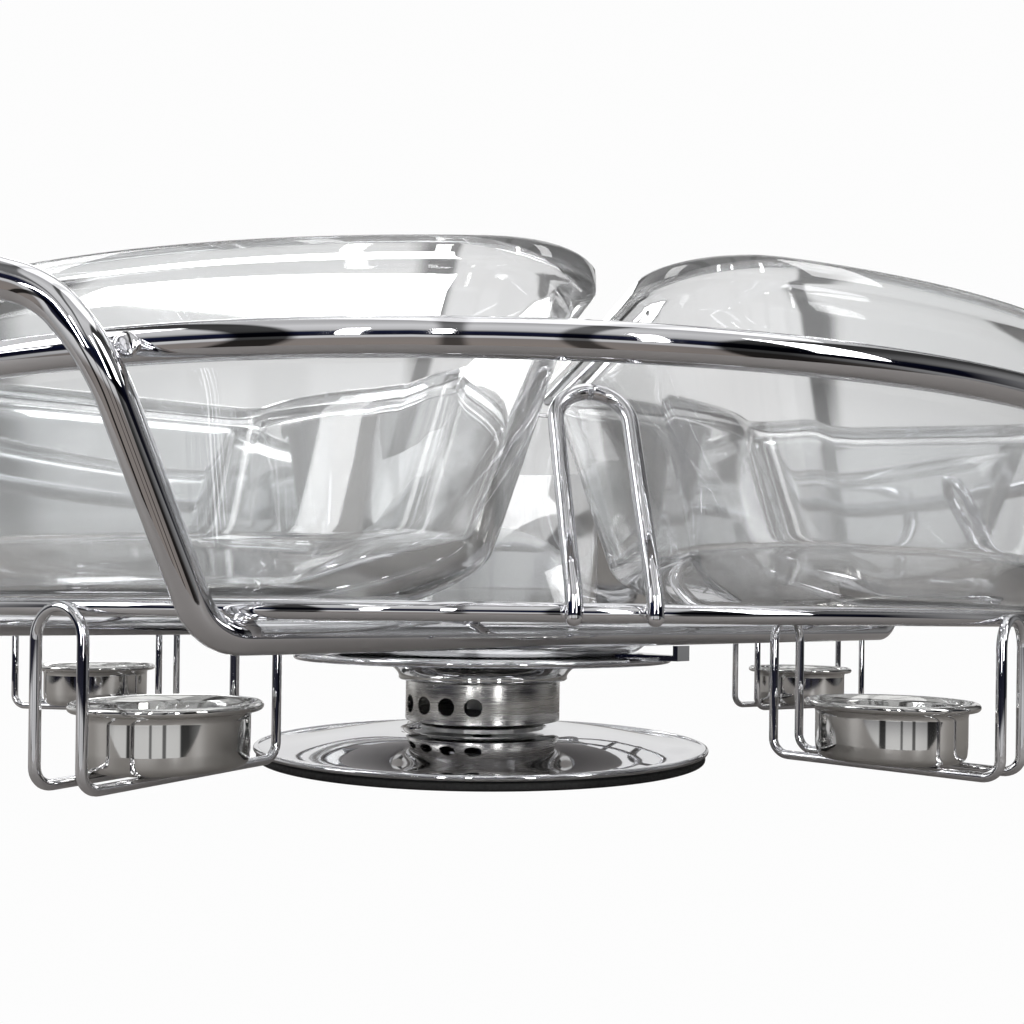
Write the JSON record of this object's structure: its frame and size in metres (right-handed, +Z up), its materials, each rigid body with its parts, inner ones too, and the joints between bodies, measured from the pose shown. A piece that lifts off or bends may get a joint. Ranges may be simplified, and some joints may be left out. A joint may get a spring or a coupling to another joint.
{
  "type": "revolving candle-heated buffet server",
  "caption": "Revolving buffet server: chrome wire rack on a turntable base, holding fan-shaped glass dishes round a centre dish above tea-light cups.",
  "frame": {"origin": "on the turning axis, in the flat face that the base stands on", "axes": "+Z up along the turning axis; -Y is the front, with the first divider about 9 degrees to its right"},
  "size_m": [0.474, 0.493, 0.1376],
  "materials": {
    "chrome": "bright chrome plate",
    "stainless": "polished stainless steel",
    "brushed_collar": "brushed stainless steel",
    "zinc_steel": "zinc-plated steel",
    "rubber": "matt black",
    "clear_glass": "clear moulded glass"
  },
  "bodies": {
    "base": {"foot_ring": "rubber", "base_disc": "chrome", "lower_race": "zinc_steel", "ball_ring": "zinc_steel", "pivot_bolt": "zinc_steel", "lock_nut": "zinc_steel"},
    "rack": {"upper_race": "zinc_steel", "collar": "brushed_collar", "flared_cup": "stainless", "top_plate": "chrome", "upper_ring": "chrome", "lower_ring": "chrome", "inner_ring": "chrome", "frame_tube_front": "chrome", "frame_tube_rear": "chrome", "plate_bracket_front": "chrome", "plate_bracket_rear": "chrome", "divider_1": "chrome", "divider_2": "chrome", "divider_3": "chrome", "divider_4": "chrome", "divider_5": "chrome", "cradle_1": "chrome", "cradle_2": "chrome", "cradle_3": "chrome", "cradle_4": "chrome", "cradle_5": "chrome"},
    "centre_dish": {"centre_dish": "clear_glass"},
    "fan_dish_1": {"fan_dish_1": "clear_glass"},
    "cup_1": {"cup_1": "stainless"},
    "fan_dish_2": {"fan_dish_2": "clear_glass"},
    "cup_2": {"cup_2": "stainless"},
    "fan_dish_3": {"fan_dish_3": "clear_glass"},
    "cup_3": {"cup_3": "stainless"},
    "fan_dish_4": {"fan_dish_4": "clear_glass"},
    "cup_4": {"cup_4": "stainless"},
    "fan_dish_5": {"fan_dish_5": "clear_glass"},
    "cup_5": {"cup_5": "stainless"}
  },
  "joints": [
    {"name": "rack_turn", "type": "hinge", "parent": "base", "child": "rack", "pos_m": [0, 0, 0], "axis": [0, 0, 1], "continuous": true},
    {"name": "centre_dish_lift", "type": "slide", "parent": "rack", "child": "centre_dish", "axis": [0, 0, 1], "range_m": [0, 0.11]},
    {"name": "fan_dish_1_lift", "type": "slide", "parent": "rack", "child": "fan_dish_1", "axis": [0, 0, 1], "range_m": [0, 0.09]},
    {"name": "cup_1_slide", "type": "slide", "parent": "rack", "child": "cup_1", "axis": [0.8934, -0.4493, 0], "range_m": [0, 0.07]},
    {"name": "fan_dish_2_lift", "type": "slide", "parent": "rack", "child": "fan_dish_2", "axis": [0, 0, 1], "range_m": [0, 0.09]},
    {"name": "cup_2_slide", "type": "slide", "parent": "rack", "child": "cup_2", "axis": [0.7034, 0.7108, 0], "range_m": [0, 0.07]},
    {"name": "fan_dish_3_lift", "type": "slide", "parent": "rack", "child": "fan_dish_3", "axis": [0, 0, 1], "range_m": [0, 0.09]},
    {"name": "cup_3_slide", "type": "slide", "parent": "rack", "child": "cup_3", "axis": [-0.4587, 0.8886, 0], "range_m": [0, 0.07]},
    {"name": "fan_dish_4_lift", "type": "slide", "parent": "rack", "child": "fan_dish_4", "axis": [0, 0, 1], "range_m": [0, 0.09]},
    {"name": "cup_4_slide", "type": "slide", "parent": "rack", "child": "cup_4", "axis": [-0.9869, -0.1616, 0], "range_m": [0, 0.07]},
    {"name": "fan_dish_5_lift", "type": "slide", "parent": "rack", "child": "fan_dish_5", "axis": [0, 0, 1], "range_m": [0, 0.09]},
    {"name": "cup_5_slide", "type": "slide", "parent": "rack", "child": "cup_5", "axis": [-0.1513, -0.9885, 0], "range_m": [0, 0.07]}
  ]
}
